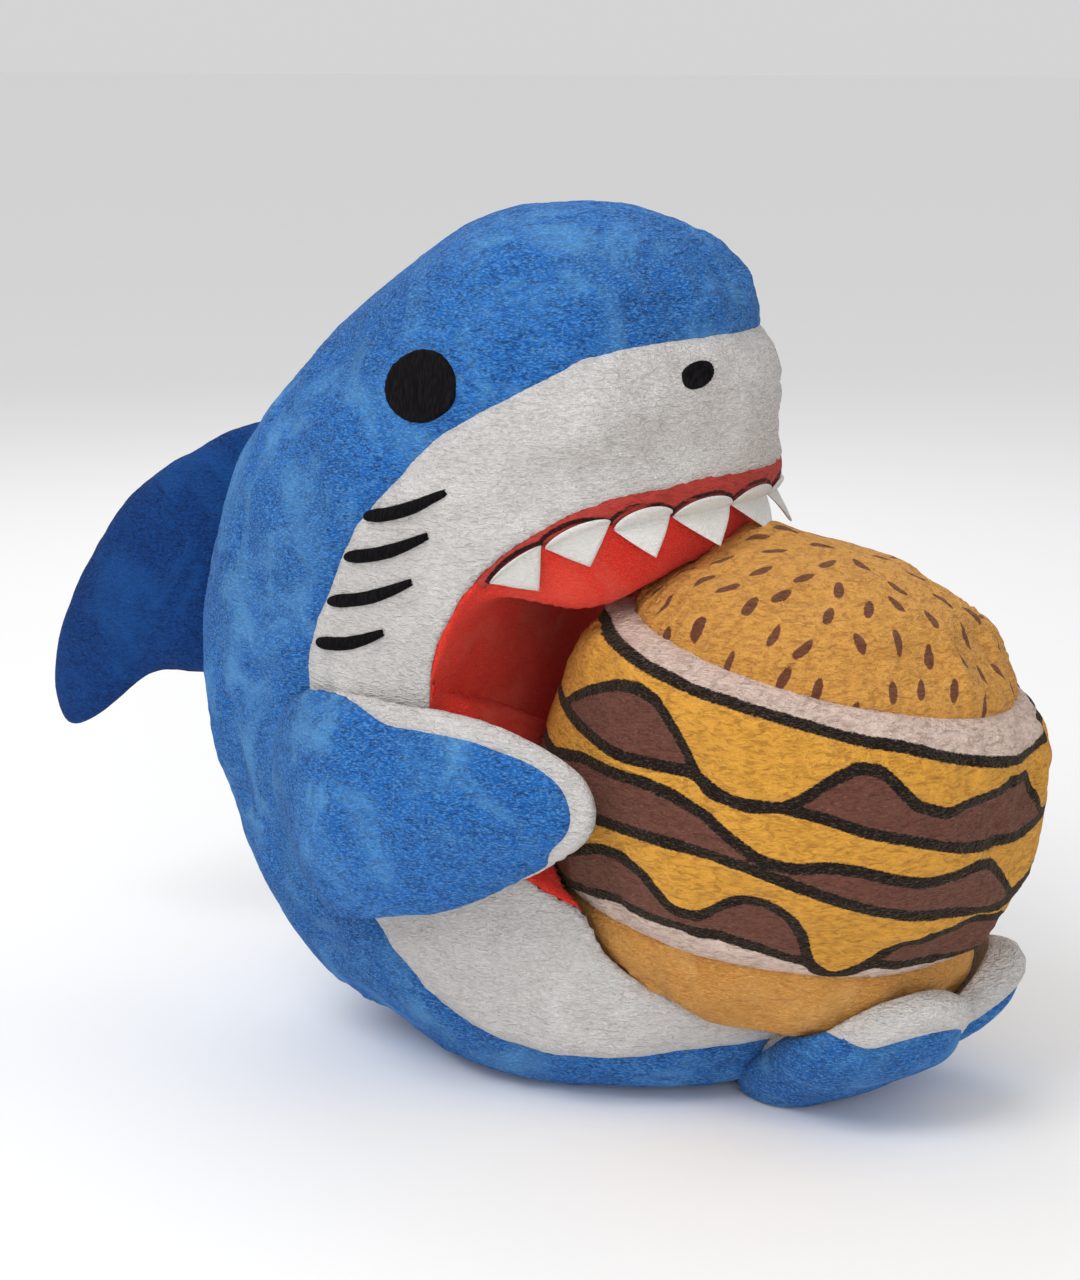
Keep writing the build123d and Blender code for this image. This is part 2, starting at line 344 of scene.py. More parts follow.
def math_node(tree, operation, a, b=None, clamp=False):
    made = tree.nodes.new("ShaderNodeMath")
    made.operation = operation
    made.use_clamp = clamp
    for socket, value in zip(made.inputs, (a, b)):
        if value is None:
            continue
        if isinstance(value, (int, float)):
            socket.default_value = value
        else:
            tree.links.new(value, socket)
    return made.outputs[0]


def mix_colour(tree, factor, a, b):
    made = tree.nodes.new("ShaderNodeMix")
    made.data_type = "RGBA"
    for socket, value in ((made.inputs["Factor"], factor), (made.inputs[6], a), (made.inputs[7], b)):
        if isinstance(value, (int, float)):
            socket.default_value = value
        elif isinstance(value, (tuple, list)):
            socket.default_value = tuple(value) + ((1.0,) if len(value) == 3 else ())
        else:
            tree.links.new(value, socket)
    return made.outputs[2]


def step_node(tree, value, low, high):
    made = tree.nodes.new("ShaderNodeMapRange")
    made.interpolation_type = "SMOOTHSTEP"
    tree.links.new(value, made.inputs["Value"])
    made.inputs["From Min"].default_value = low
    made.inputs["From Max"].default_value = high
    return made.outputs["Result"]


def noise_node(tree, vector, scale, detail=2.0, rough=0.5, distortion=0.0):
    made = tree.nodes.new("ShaderNodeTexNoise")
    made.inputs["Scale"].default_value = scale
    made.inputs["Detail"].default_value = detail
    made.inputs["Roughness"].default_value = rough
    made.inputs["Distortion"].default_value = distortion
    tree.links.new(vector, made.inputs["Vector"])
    return made.outputs["Fac"]


def named(tree, name):
    made = tree.nodes.new("ShaderNodeAttribute")
    made.attribute_name = name
    return made.outputs["Fac"]


def srgb(r, g, b):
    """Linear colour from everyday 0-255 values."""
    return tuple(((v / 255 + 0.055) / 1.055) ** 2.4 if v > 10 else v / 255 / 12.92 for v in (r, g, b))


def plush(name, base, dark, light, pile=1.0, sheen=0.6, print_colour=None, grain=(0.45, 0.45, 1.3), turn=(0.0, 0.0, 0.0), row=1.5):
    """Short pile fabric: knit rows, fibres, brushed patches and a soft sheen."""
    mat, tree, shader = nodes_of(name)
    where = tree.nodes.new("ShaderNodeTexCoord").outputs["Object"]
    place = tree.nodes.new("ShaderNodeMapping")
    place.inputs["Scale"].default_value = grain
    place.inputs["Rotation"].default_value = turn
    tree.links.new(where, place.inputs["Vector"])
    wander = noise_node(tree, where, 90, 2)
    rows = noise_node(tree, place.outputs["Vector"], 1150 / row, 2.0, 0.55, 0.9)
    fibres = noise_node(tree, place.outputs["Vector"], 3400 / row, 2, 0.65, 0.4)
    brushed = noise_node(tree, where, 42, 3.5, 0.6, 1.2)
    patches = noise_node(tree, where, 21, 1.5, 0.5, 0.6)
    tufts = step_node(tree, rows, 0.25, 0.62)
    colour = base if print_colour is None else print_colour(tree, fibres, rows)
    shade = math_node(tree, "MULTIPLY", math_node(tree, "SUBTRACT", 1.0, tufts), 0.75 * pile)
    if print_colour is None:
        colour = mix_colour(tree, shade, base, dark)
        colour = mix_colour(tree, math_node(tree, "MULTIPLY", step_node(tree, brushed, 0.45, 0.72), 0.55), colour, light)
        colour = mix_colour(tree, math_node(tree, "MULTIPLY", step_node(tree, patches, 0.62, 0.36), 0.25), colour, dark)
        colour = mix_colour(tree, math_node(tree, "MULTIPLY", step_node(tree, fibres, 0.45, 0.66), 0.5), colour, light)
    else:
        darker = tree.nodes.new("ShaderNodeMix")
        darker.data_type = "RGBA"
        darker.blend_type = "MULTIPLY"
        tree.links.new(shade, darker.inputs["Factor"])
        tree.links.new(colour, darker.inputs[6])
        darker.inputs[7].default_value = (*dark, 1)
        colour = darker.outputs[2]
        colour = mix_colour(tree, math_node(tree, "MULTIPLY", step_node(tree, fibres, 0.5, 0.8), 0.12), colour, light)
    tree.links.new(colour, shader.inputs["Base Color"])
    height = math_node(tree, "ADD", math_node(tree, "MULTIPLY", rows, 0.9), math_node(tree, "MULTIPLY", fibres, 0.5))
    height = math_node(tree, "ADD", height, math_node(tree, "MULTIPLY", brushed, 0.8))
    height = math_node(tree, "ADD", height, math_node(tree, "MULTIPLY", wander, 0.3))
    bump = tree.nodes.new("ShaderNodeBump")
    bump.inputs["Strength"].default_value = 0.9
    bump.inputs["Distance"].default_value = 0.0030 * pile
    tree.links.new(height, bump.inputs["Height"])
    tree.links.new(bump.outputs["Normal"], shader.inputs["Normal"])
    shader.inputs["Roughness"].default_value = 0.92
    shader.inputs["Specular IOR Level"].default_value = 0.15
    shader.inputs["Sheen Weight"].default_value = sheen
    shader.inputs["Sheen Roughness"].default_value = 0.45
    shader.inputs["Sheen Tint"].default_value = (*[min(1.0, v * 0.8 + 0.2) for v in light], 1)
    return mat


def thread(name, colour, stitches=900.0, turn=0.0):
    """Glossy satin stitching in fine parallel threads, with a painted highlight along the thread lines."""
    mat, tree, shader = nodes_of(name)
    where = tree.nodes.new("ShaderNodeTexCoord").outputs["Object"]
    place = tree.nodes.new("ShaderNodeMapping")
    place.inputs["Rotation"].default_value = (turn, 0, 0)
    place.inputs["Scale"].default_value = (0.4, 3.0, 0.5)
    tree.links.new(where, place.inputs["Vector"])
    lines = noise_node(tree, place.outputs["Vector"], stitches, 2, 0.5)
    fine = noise_node(tree, where, 3000, 2)
    # painted highlight: the thread lines are mixed towards a lighter copy of the thread colour, standing in for the
    # glint on the satin stitches
    tree.links.new(mix_colour(tree, step_node(tree, lines, 0.35, 0.7), colour, tuple(v * 2 + 0.003 for v in colour)), shader.inputs["Base Color"])
    bump = tree.nodes.new("ShaderNodeBump")
    bump.inputs["Strength"].default_value = 0.8
    bump.inputs["Distance"].default_value = 0.0005
    tree.links.new(math_node(tree, "ADD", lines, math_node(tree, "MULTIPLY", fine, 0.3)), bump.inputs["Height"])
    tree.links.new(bump.outputs["Normal"], shader.inputs["Normal"])
    shader.inputs["Roughness"].default_value = 0.7
    shader.inputs["Specular IOR Level"].default_value = 0.06
    return mat


BLUE = plush("blue_plush", srgb(24, 106, 196), srgb(2, 38, 100), srgb(112, 182, 240), sheen=0.22)
DARK_BLUE = plush("dark_blue_plush", srgb(9, 60, 130), srgb(4, 30, 78), srgb(30, 92, 166), sheen=0.06)
WHITE = plush("white_plush", srgb(216, 212, 209), srgb(186, 180, 177), srgb(234, 231, 229), pile=0.85, sheen=0.2)
RED = plush("red_tricot", srgb(255, 52, 36), srgb(228, 28, 20), srgb(255, 112, 90), pile=0.5, sheen=0.3, row=0.9)
FELT = plush("white_felt", srgb(228, 226, 222), srgb(206, 203, 198), srgb(242, 240, 238), pile=0.3, sheen=0.15, row=0.8)
BUN_LOW = plush("plain_bun_plush", srgb(208, 146, 70), srgb(160, 98, 38), srgb(230, 178, 108), pile=0.65, sheen=0.25)
FILLING = plush("filling_fibre", srgb(232, 230, 226), srgb(205, 202, 198), srgb(245, 244, 242), pile=0.8, sheen=0.2)
BLACK = thread("black_thread", srgb(11, 9, 11))


def gum_print(tree, fibres, rows):
    edge = math_node(tree, "ADD", named(tree, "arc"), math_node(tree, "MULTIPLY", math_node(tree, "SUBTRACT", fibres, 0.5), 0.5))
    return mix_colour(tree, step_node(tree, edge, 0.75, 0.35), srgb(186, 66, 58), srgb(34, 16, 18))


def band_print(tree, fibres, rows):
    fuzz = math_node(tree, "MULTIPLY", math_node(tree, "SUBTRACT", fibres, 0.5), 0.9)
    patty = step_node(tree, math_node(tree, "ADD", named(tree, "patty"), fuzz), -0.15, 0.15)
    cream = step_node(tree, math_node(tree, "ADD", named(tree, "cream"), fuzz), -0.15, 0.15)
    line = step_node(tree, math_node(tree, "ADD", named(tree, "line"), fuzz), 0.2, -0.2)
    colour = mix_colour(tree, patty, srgb(228, 164, 64), srgb(112, 68, 58))
    colour = mix_colour(tree, cream, colour, srgb(222, 198, 186))
    return mix_colour(tree, line, colour, srgb(22, 12, 14))


def bun_print(tree, fibres, rows):
    fuzz = math_node(tree, "MULTIPLY", math_node(tree, "SUBTRACT", fibres, 0.5), 0.35)
    seed = step_node(tree, math_node(tree, "ADD", named(tree, "seed"), fuzz), 0.12, -0.12)
    return mix_colour(tree, seed, srgb(222, 160, 78), srgb(116, 68, 50))


GUM = plush("gum_plush", None, srgb(150, 100, 100), srgb(214, 110, 100), pile=0.55, sheen=0.2, print_colour=gum_print)
BAND = plush("printed_band_plush", None, srgb(146, 122, 112), srgb(236, 206, 160), pile=0.7, sheen=0.12, print_colour=band_print)
BUN = plush("seeded_bun_plush", None, srgb(156, 124, 104), srgb(240, 196, 130), pile=0.7, sheen=0.2, print_colour=bun_print)


# ------------------------------------------------------------------ pieces
def finish_piece(ob, material, bodies, nodes, thick=None):
    ob.data.materials.clear()
    ob.data.materials.append(material)
    if thick:
        shell = ob.modifiers.new("cloth", "SOLIDIFY")
        shell.thickness = thick * MM
        shell.offset = -1
        applied(ob)
        ob.data.polygons.foreach_set("use_smooth", [True] * len(ob.data.polygons))
    if isinstance(bodies, str):
        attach(ob, bodies)
    else:
        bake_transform(ob)
    if nodes:
        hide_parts(*nodes)
    return ob


def recess(s, edge, soft, reach=5.0):
    """How far the cloth is drawn in at distance s inside its sewn edge, and how it dives beyond it."""
    near = edge * np.exp(-np.maximum(s, 0) / 1.5) + soft * np.exp(-np.maximum(s, 0) / reach)
    return near + np.maximum(-s, 0) * 0.9


MARGIN = 2.6


def panel(name, verts, faces, normals, edges, material, nodes, rough=0.25, extra=None, skip=None):
    """A cloth panel cut from a form: edges is a list of (distance inside the edge, sharp draw, soft draw)."""
    within = np.min([e[0] for e in edges], axis=0)
    depth = np.max([recess(*e) for e in edges], axis=0)
    moved = verts - normals * depth[:, None]
    moved = moved + normals * (lumps(verts, 3.0, rough, 3.1) + lumps(verts, 24.0, 0.9, 9.4) + lumps(verts, 9.0, 0.3, 7.4))[:, None]
    keep = [f for f in faces if min(within[f]) > -MARGIN and (skip is None or not all(skip[f]))]
    used = sorted({i for f in keep for i in f})
    index = {v: i for i, v in enumerate(used)}
    ob = new_object(name, moved[used], [[index[i] for i in f] for f in keep])
    for key, values in (extra or {}).items():
        attribute(ob, key, values[used])
    return finish_piece(ob, material, ROOT, nodes, thick=1.1)


# ---- torso form: stacked levels less the mouth and the burger
def torso_object(inset=0.0):
    rows = [(0.0, -28.0, 0.0, 0.2)] + [(z, (a + b) / 2, (b - a) / 2, w) for z, a, b, w in TORSO_LEVELS] + [(209.3, -26.0, 0.2, 0.2)]
    rows = np.array(rows)
    rows[0, 2] = 0.2
    t = np.concatenate([[0], np.cumsum(np.hypot(np.diff(rows[:, 0]), np.diff(rows[:, 3])))])
    fine = cubic(t, rows, np.linspace(0, t[-1], 130))
    fine[:, 0] = np.clip(fine[:, 0], 0.0, 209.4)
    fine[:, 2:] = np.maximum(fine[:, 2:] - inset, 0.2)
    a = np.linspace(0, 2 * pi, 180, endpoint=False)
    z, mid, deep, wide = (fine[:, k][:, None] for k in range(4))
    z = np.clip(z, inset, 209.4 - inset)
    p = np.stack([wide * np.cos(a), mid + deep * np.sin(a), z + 0 * a], -1).reshape(-1, 3)
    faces = grid_faces(130, 180).tolist()
    faces = [f for f in faces] + [list(range(180))[::-1], list(range(129 * 180, 130 * 180))]
    return new_object("torso_form", p, faces)


def mouth_object(grow=0.0):
    x = np.linspace(-90, 90, 61)[:, None]
    a = np.linspace(0, 2 * pi, 144, endpoint=False)
    reach = MOUTH_DEPTH + grow + THROAT_EXTRA * (1 - np.clip(x / 80, -1, 1) ** 2)
    p = np.stack([x + 0 * a, MOUTH_Y + reach * np.cos(a), MOUTH_Z + (MOUTH_RISE + grow) * np.sin(a) + 0 * x], -1).reshape(-1, 3)
    faces = grid_faces(61, 144).tolist()
    return new_object("mouth_form", p, [f[::-1] for f in faces] + [list(range(144)), list(range(60 * 144, 61 * 144))[::-1]])


PROFILE = np.array([
    (0, 57), (12, 56.4), (22.7, 54), (38.9, 47), (50.2, 37), (54, 32), (57.2, 16), (58.5, 0), (57.2, -16), (54, -32),
    (49.7, -40), (35.6, -46.5), (18, -49.3), (0, -50),
], float)
_arc = np.concatenate([[0], np.cumsum(np.linalg.norm(np.diff(PROFILE, axis=0), axis=1))])
ARC_AT = np.linspace(0, _arc[-1], 600)
PROFILE_FINE = cubic(_arc, PROFILE, ARC_AT)
PROFILE_FINE[:, 0] = np.maximum(PROFILE_FINE[:, 0], 0)
_tangent = np.gradient(PROFILE_FINE, axis=0)
PROFILE_OUT = np.stack([-_tangent[:, 1], _tangent[:, 0]], -1) / np.linalg.norm(_tangent, axis=1)[:, None]


def at_height(v):
    """Where along the burger's profile a height is reached."""
    return np.interp(-np.asarray(v), -PROFILE_FINE[:, 1], ARC_AT)


def burger_points(arc, theta, lift):
    """World points on the burger: arc along the profile, theta round it from the front, lift off the surface."""
    r = np.interp(arc, ARC_AT, PROFILE_FINE[:, 0]) + lift * np.interp(arc, ARC_AT, PROFILE_OUT[:, 0])
    v = np.interp(arc, ARC_AT, PROFILE_FINE[:, 1]) + lift * np.interp(arc, ARC_AT, PROFILE_OUT[:, 1])
    r = np.maximum(r, 0)
    x, y = r * np.sin(theta), -r * np.cos(theta)
    c, s = cos(BURGER_TILT), sin(BURGER_TILT)
    return np.stack([x, c * y - s * v, s * y + c * v], -1) + BURGER_AT


def burger_depth(p):
    """How deep points lie inside the burger, with the way out."""
    c, w = cos(BURGER_TILT), sin(BURGER_TILT)
    q = p - BURGER_AT
    y, v = c * q[:, 1] + w * q[:, 2], -w * q[:, 1] + c * q[:, 2]
    r = np.hypot(q[:, 0], y)
    gap = np.stack([r, v], -1)[:, None, :] - PROFILE_FINE[None, ::4, :]
    nearest = np.argmin((gap ** 2).sum(-1), axis=1) * 4
    n = PROFILE_OUT[nearest]
    depth = -((np.stack([r, v], -1) - PROFILE_FINE[nearest]) * n).sum(-1)
    x1, y1 = n[:, 0] * q[:, 0] / np.maximum(r, 1e-6), n[:, 0] * y / np.maximum(r, 1e-6)
    return depth, np.stack([x1, c * y1 - w * n[:, 1], w * y1 + c * n[:, 1]], -1)


def burger_object(grow=0.0):
    theta = np.linspace(0, 2 * pi, 120, endpoint=False)
    arc = np.linspace(0.4, ARC_AT[-1] - 0.4, 80)[:, None]
    p = burger_points(arc + 0 * theta, theta + 0 * arc, grow).reshape(-1, 3)
    return new_object("burger_form", p, grid_faces(80, 120).tolist() + [list(range(120))[::-1], list(range(79 * 120, 80 * 120))])


def outward(ob):
    """Turns a closed form's faces outward."""
    bpy.context.view_layer.objects.active = ob
    for o in bpy.context.selected_objects:
        o.select_set(False)
    ob.select_set(True)
    bpy.ops.object.mode_set(mode="EDIT")
    bpy.ops.mesh.select_all(action="SELECT")
    bpy.ops.mesh.normals_make_consistent(inside=False)
    bpy.ops.object.mode_set(mode="OBJECT")


def carve(form, *cutters):
    outward(form)
    for cutter in cutters:
        outward(cutter)
        cut = form.modifiers.new("cut", "BOOLEAN")
        cut.operation = "DIFFERENCE"
        cut.solver = "EXACT"
        cut.object = cutter
    applied(form)
    discard(*cutters)
    return form


def revoxel(form, size):
    voxel = form.modifiers.new("even", "REMESH")
    voxel.mode = "VOXEL"
    voxel.voxel_size = size * MM
    return applied(form)


torso = revoxel(carve(torso_object(), mouth_object(), burger_object(-0.8)), 1.6)
V, F = arrays(torso)
V = relax(V, F, 5)
N = vertex_normals(V, F)
discard(torso)
FORM = V.copy()
def torso_seams(p):
    rim = outside_mouth(p) - below_torso_skin(p)
    return smooth(np.min([np.abs(rim), np.abs(in_white(p))], axis=0), 5.0, 2.0)

bulge = simulated_push(V, F, 6.0, torso_seams, 1.8)
rim = outside_mouth(V) - below_torso_skin(V)
calm = smooth(rim, 2.0, 9.0) * smooth(-burger_depth(V)[0], 2.0, 9.0) * smooth(V[:, 2], 1.0, 9.0)
V = V + N * (bulge(V) * calm)[:, None]
N = vertex_normals(V, F)
SKIN = BVHTree.FromPolygons((V * MM).tolist(), F)

depth_in = below_torso_skin(FORM)
from_mouth = outside_mouth(FORM)
outer = from_mouth - depth_in          # distance from the lip on the outside, negative inside the mouth
white = in_white(FORM)
inner = -outer
burger_gap = -burger_depth(FORM)[0]
pressed = burger_gap < np.where(V[:, 2] < 62, 1.6, -0.1)      # where the burger presses on the lining
fold_z = 70 + 31 * np.clip(np.abs(V[:, 0]) / 62, 0, 1) ** 0.45    # the lining's fold drops towards the throat
shrug = 4.5 * smooth(V[:, 2], 60, 84) * smooth(fold_z - V[:, 2], -1, 3) * smooth(inner, 4, 14)

panel("back_panel_right_plush", V, F, N, [(outer, 0.6, 0.8), (-white, 0.6, 1.0), (-V[:, 0], 0.5, 0.25)],
      BLUE, ["back_panel_right"])
panel("back_panel_left_plush", V, F, N, [(outer, 0.6, 0.8), (-white, 0.6, 1.0), (V[:, 0], 0.5, 0.25)],
      BLUE, ["back_panel_left"])
panel("face_plush", V, F, N, [(outer, 0.5, 0.9, 4.0), (white, 0.5, 0.9), (V[:, 2] - FACE_BOTTOM_Z, 0.6, 0.3)],
      WHITE, ["face_panel"])
panel("belly_plush", V, F, N, [(outer, 0.5, 0.9, 4.0), (white, 0.5, 0.9), (FACE_BOTTOM_Z - V[:, 2], 0.6, 0.3)],
      WHITE, ["belly_panel"])

# behind the front teeth the loose lining hangs down to the burger
sag = np.clip(1.15 * burger_gap - 0.7, 0, 28) * smooth(inner, 1.5, 8.5)
sag = sag * smooth(-V[:, 1], 22, 58) * smooth(V[:, 2], 105, 128)
panel("mouth_lining_upper_cloth", V - np.array([0, 0, 1]) * sag[:, None], F, N, [(inner, 0.4, 0.5), (V[:, 2] - fold_z, 0.6, 1.6, 7.0)],
      RED, ["mouth_lining_upper"], rough=0.1, skip=pressed)
panel("mouth_lining_lower_cloth", V + N * shrug[:, None], F, N, [(inner, 0.4, 0.5), (fold_z - V[:, 2], 0.6, 0.4, 3.0)],
      RED, ["mouth_lining_lower"], rough=0.1, skip=pressed)

# ---- stuffing inside the torso
core = revoxel(carve(torso_object(6.0), mouth_object(6.0), burger_object(3.0)), 5.0)
vc, fc = arrays(core)
discard(core)
vc = vc + vertex_normals(vc, fc) * lumps(vc, 9.0, 0.8, 1.7)[:, None]
finish_piece(new_object("torso_filling", vc, fc), FILLING, ROOT, ["torso_stuffing"])


# ------------------------------------------------------------------ burger
def periodic_curve(points, theta):
    """A printed outline: height against angle in degrees, repeated every half turn."""
    p = np.array(points, float)
    x = np.concatenate([p[:, 0] - 180, p[:, 0], p[:, 0] + 180])
    y = np.concatenate([p[:, 1]] * 3)
    grid = np.arange(-360, 540, 0.5)
    values = np.interp(grid, x, y)
    kernel = np.exp(-np.linspace(-2, 2, 13) ** 2)
    values = np.convolve(np.pad(values, 6, mode="edge"), kernel / kernel.sum(), mode="valid")
    t = -150 + np.mod(np.degrees(theta) + 150, 180)
    return np.interp(t, grid, values)


BLACK_BAND = ((-148, 32.5), (-114, 32.5), (-87, 33.5), (-65, 33.8), (-45, 33), (-23, 30.5), (-5, 28.5), (15, 29.5))
PATTY_1_TOP = (
    (-145, 12.5), (-138, 12.5), (-134, 16), (-125, 22), (-118, 26), (-111, 28), (-105, 27.5), (-98, 23), (-91, 16), (-85, 13.5), (-76, 13.5),
    (-69, 15.8), (-65, 19), (-61, 23.5), (-55, 27.5), (-49, 27.5), (-45, 24.5), (-40, 21), (-32, 19.5), (-26, 21.5),
    (-17, 22.7), (-6, 23.5), (4, 23), (8, 17), (12, 11.5), (20, 12),
)
PATTY_1_LOW = (
    (-145, 12.5), (-138, 12.5), (-119, 12.5), (-109, 12.5), (-98, 14.5), (-91, 15.8), (-80, 13.6), (-69, 15.6), (-60, 15.4), (-51, 14),
    (-40, 13), (-28, 11.5), (-17, 10.5), (0, 10), (12, 11), (20, 12),
)
PATTY_2_TOP = (
    (-145, 1), (-134, 2), (-120, 7), (-111, 8), (-102, 9.4), (-94, 9.6), (-85, 8.4), (-78, 5.2), (-71, 2.6), (-64, 2.6), (-57, 4.8),
    (-50, 5), (-41, 3.7), (-34, 3.2), (-26, 4.7), (-19, 6.3), (-14, 6), (-6, 1), (0, -5), (10, -3), (25, 0),
)
PATTY_2_LOW = (
    (-145, -6), (-116, -4.8), (-106, -3), (-94, -1), (-83, 0), (-73, 0), (-60, -1.2), (-52, -2.6), (-43, -4), (-34, -4.8),
    (-23, -5.5), (-10, -6), (10, -5.5),
)
PATTY_3_TOP = (
    (-145, -24), (-135, -24), (-119, -15.6), (-110, -10.7), (-103, -9.2), (-96, -10.3), (-91, -13.5), (-87, -15.9), (-81, -15.6),
    (-77, -11.6), (-73, -9), (-67, -7.6), (-61, -9.7), (-57, -15.2), (-54, -21.4), (-51, -24.4), (-47, -25.4), (-42, -24),
    (-38, -19.8), (-34, -14.3), (-28, -11.3), (-21, -10.4), (-14, -9.2), (-4, -9), (8, -14), (20, -20),
)
PATTY_3_LOW = (
    (-145, -26), (-123, -26.5), (-112, -24), (-100, -21.2), (-90, -20.1), (-80, -20), (-63, -20.7), (-55, -21.7), (-47, -25.6),
    (-37, -20.4), (-20, -20), (0, -20), (20, -22),
)
LINE_HALF = 1.35


def top_seam(theta):
    return 37.2 + 2.6 * np.cos(theta + radians(70))


def low_seam(theta):
    return -28.6 + 4.3 * np.cos(theta - radians(10))


def print_fields(theta, v):
    """Signed sizes of the printed areas: patty, cream, and distance to the nearest black outline."""
    r = 57.0
    patty = np.full(v.shape, -9.0)
    line = np.full(v.shape, 9.0)
    for top, low in ((PATTY_1_TOP, PATTY_1_LOW), (PATTY_2_TOP, PATTY_2_LOW), (PATTY_3_TOP, PATTY_3_LOW)):
        heights = [periodic_curve(c, theta) for c in (top, low)]
        patty = np.maximum(patty, np.minimum(heights[0] - v, v - heights[1]))
        for c, h in zip((top, low), heights):
            slope = (periodic_curve(c, theta + 0.02) - periodic_curve(c, theta - 0.02)) / (0.04 * r)
            line = np.minimum(line, np.abs(v - h) / np.sqrt(1 + slope ** 2))
    edge = periodic_curve(BLACK_BAND, theta)
    line = np.minimum(line, np.abs(v - edge))
    cream = np.maximum(v - edge, np.minimum(periodic_curve(PATTY_3_LOW, theta), periodic_curve(PATTY_3_TOP, theta)) - v)
    return patty, cream, line - LINE_HALF


def scatter_seeds(count, apart):
    """Seeds on the bun as (arc, theta, turn), evenly spread at random."""
    seeds = []
    tries = 0
    while len(seeds) < count and tries < 9000:
        tries += 1
        arc = rng.uniform(6, 60) ** 1.0
        theta = rng.uniform(-pi, pi)
        p = burger_points(np.array([arc]), np.array([theta]), np.array([0.0]))[0]
        if rng.uniform() > np.interp(arc, ARC_AT, PROFILE_FINE[:, 0]) / 54:
            continue
        if all(np.linalg.norm(p - q[3]) > apart for q in seeds):
            seeds.append((arc, theta, rng.normal(0, 0.25), p))
    return seeds


def burger_grid(low, high, rows, cols):
    """Arc and theta of a band of the burger between two arcs that may vary round it."""
    theta = np.linspace(-pi, pi, cols, endpoint=False)[None, :]
    share = np.linspace(0, 1, rows)[:, None]
    return low(theta) * (1 - share) + high(theta) * share, theta + 0 * share


DENSE = 1.0
burger_push = None
def burger_seams(p):
    q = p - BURGER_AT
    y = cos(BURGER_TILT) * q[:, 1] + sin(BURGER_TILT) * q[:, 2]
    v = -sin(BURGER_TILT) * q[:, 1] + cos(BURGER_TILT) * q[:, 2]
    theta = np.arctan2(q[:, 0], -y)
    return smooth(np.minimum(np.abs(v - top_seam(theta)), np.abs(v - low_seam(theta))), 5.0, 2.0)

ball = burger_object()
ball_verts, ball_faces = arrays(ball)
discard(ball)
burger_push = simulated_push(ball_verts, ball_faces, 4.5, burger_seams, 2.2, grow=0.08)
COLS = int(420 * DENSE)
OVERLAP = 1.4


def seam_arc(seam):
    return lambda theta: at_height(seam(theta))


def burger_piece(name, low, high, rows, edges, material, nodes, fields, pucker=0.0):
    arc, theta = burger_grid(low, high, int(rows * DENSE), COLS)
    depth = np.zeros(arc.shape)
    for distance, sharp, soft, reach in edges:
        depth = np.maximum(depth, recess(distance(arc, theta), sharp, soft, reach))
    flat = burger_points(arc, theta, 0 * arc).reshape(-1, 3)
    lift = -depth + (lumps(flat, 18.0, 0.9, 2.2) + lumps(flat, 3.0, 0.2, 4.2)).reshape(arc.shape)
    if burger_push:
        lift = lift + burger_push(flat).reshape(arc.shape)
    if pucker:
        s = at_height(top_seam(theta)) - arc
        pull = 0.35 + 0.65 * np.exp(-((np.degrees(theta) + 112) / 26) ** 2)
        ridges = np.sin(theta * 47 + 2.5 * np.sin(theta * 5)) + 0.6 * np.sin(theta * 83 + 1.7)
        lift = lift + pucker * pull * ridges * np.exp(-np.maximum(s, 0) / 7.0) * smooth(s, -1, 3)
        tack = np.linalg.norm(flat - np.array([0.0, -74.0, 130.0]), axis=1).reshape(arc.shape)
        lift = lift + 4.5 * np.exp(-(tack / 9.0) ** 2)
    p = burger_points(arc, theta, lift).reshape(-1, 3)
    ob = new_object(name, p, grid_faces(arc.shape[0], COLS)[:, ::-1].tolist())
    for key, values in fields(arc, theta).items():
        attribute(ob, key, values.ravel())
    return finish_piece(ob, material, ROOT, nodes, thick=1.1)


SEEDS = scatter_seeds(112, 7.6)


def seed_field(arc, theta):
    """Distance outside the nearest printed seed, in millimetres."""
    best = np.full(arc.shape, 5.0)
    for a, t, turn, _ in SEEDS:
        r = np.interp(a, ARC_AT, PROFILE_FINE[:, 0])
        across = np.mod(theta - t + pi, 2 * pi) - pi
        u, w = across * r, arc - a
        u, w = u * cos(turn) + w * sin(turn), w * cos(turn) - u * sin(turn)
        shape = np.sqrt((u / 1.15) ** 2 + (w / 3.0) ** 2)
        best = np.minimum(best, (shape - 1) * 1.3)
    return {"seed": np.clip(best, -2, 5)}


def band_fields(arc, theta):
    v = np.interp(arc, ARC_AT, PROFILE_FINE[:, 1])
    patty, cream, line = print_fields(theta, v)
    return {"patty": patty, "cream": cream, "line": line}


burger_piece("bun_top_plush", lambda t: 0.3 + 0 * t, lambda t: at_height(top_seam(t)) + OVERLAP, 110,
             [(lambda a, t: at_height(top_seam(t)) - a, 1.3, 1.6, 5.0)], BUN, ["bun_top_panel"],
             seed_field, pucker=1.3)
burger_piece("side_band_plush", lambda t: at_height(top_seam(t)) - OVERLAP, lambda t: at_height(low_seam(t)) + OVERLAP, 100,
             [(lambda a, t: a - at_height(top_seam(t)), 0.8, 0.8, 3.0), (lambda a, t: at_height(low_seam(t)) - a, 1.0, 1.2, 4.0)],
             BAND, ["side_band_panel"], band_fields)
burger_piece("bun_bottom_plush", lambda t: at_height(low_seam(t)) - OVERLAP, lambda t: ARC_AT[-1] - 0.3 + 0 * t, 70,
             [(lambda a, t: a - at_height(low_seam(t)), 1.2, 1.4, 4.0)], BUN_LOW, ["bun_bottom_panel"],
             lambda a, t: {})
filling = revoxel(burger_object(-6.0), 5.0)
finish_piece(filling, FILLING, ROOT, ["burger_stuffing"])
filling.name = "burger_filling"


